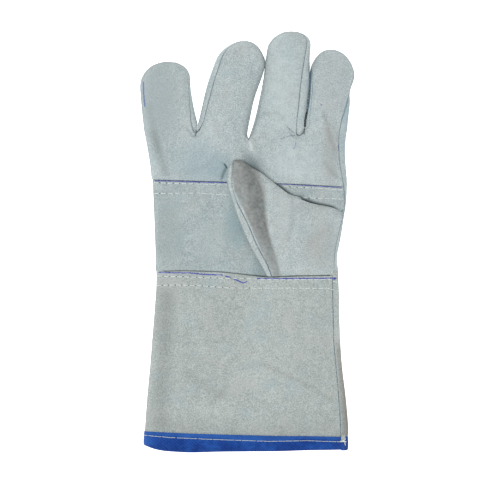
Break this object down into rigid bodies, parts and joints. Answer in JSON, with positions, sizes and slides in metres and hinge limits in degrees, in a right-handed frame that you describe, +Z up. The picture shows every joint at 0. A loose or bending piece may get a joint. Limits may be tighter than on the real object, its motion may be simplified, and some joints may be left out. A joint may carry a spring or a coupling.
{
  "type": "split-leather gauntlet work glove",
  "caption": "Split-leather gauntlet work glove lying palm up, thumb folded over the palm, hollow fingers and long cuff with a blue bound mouth",
  "frame": {"origin": "centre of the glove's outline on the surface that it lies on", "axes": "+X across the palm towards the index finger, +Y towards the fingertips, +Z up out of the palm side"},
  "size_m": [0.178, 0.3505, 0.0273],
  "materials": {
    "pale_leather": "suede nap, matte, pale blue-grey",
    "palm_leather": "suede nap, matte, pale blue-grey",
    "cuff_leather": "suede nap, matte, pale green-grey",
    "blue_twill": "woven cotton twill, matte blue"
  },
  "bodies": {
    "root": {"palm_fingers": "pale_leather", "back_panel": "pale_leather", "strip_little_ring": "pale_leather", "strip_ring_middle": "pale_leather", "strip_middle_index": "pale_leather", "palm_patch": "palm_leather", "thumb_front": "palm_leather", "thumb_back": "palm_leather", "cuff": "cuff_leather", "cuff_binding": "blue_twill"}
  },
  "joints": []
}
